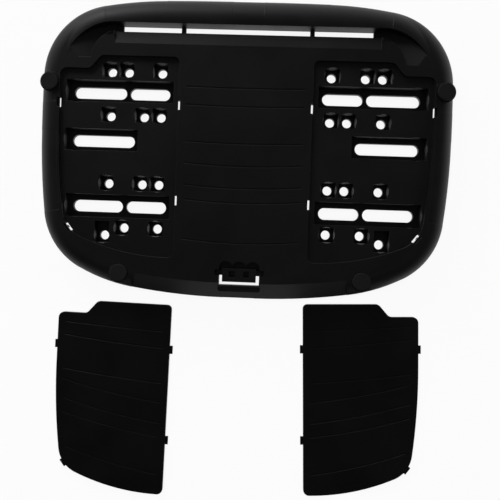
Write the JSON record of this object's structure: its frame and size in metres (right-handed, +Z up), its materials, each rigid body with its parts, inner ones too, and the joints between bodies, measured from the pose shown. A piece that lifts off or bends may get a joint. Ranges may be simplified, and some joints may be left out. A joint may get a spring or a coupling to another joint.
{
  "type": "top case mounting plate",
  "caption": "Moulded plastic plate that carries a top case on a motorbike rack, with bolt wells, slots, a hooked front, a lock striker, rubber buffers and its clip-in covers laid beside it.",
  "frame": {"origin": "centre of the bolt grid, in the plane of the rack under the bolt wells", "axes": "+Z up from the rack, +Y towards the hooded edge that takes the hooks, +X to the right"},
  "size_m": [0.3132, 0.3854, 0.0276],
  "materials": {
    "plate": "fine grain",
    "cover": "fine grain",
    "striker": "smooth",
    "rubber": "matte"
  },
  "bodies": {
    "root": {"mounting_plate": "plate", "lock_striker": "striker", "buffer_front_left": "rubber", "buffer_front_right": "rubber", "buffer_rear_left": "rubber", "buffer_rear_right": "rubber", "left_cover": "cover", "right_cover": "cover"}
  },
  "joints": []
}
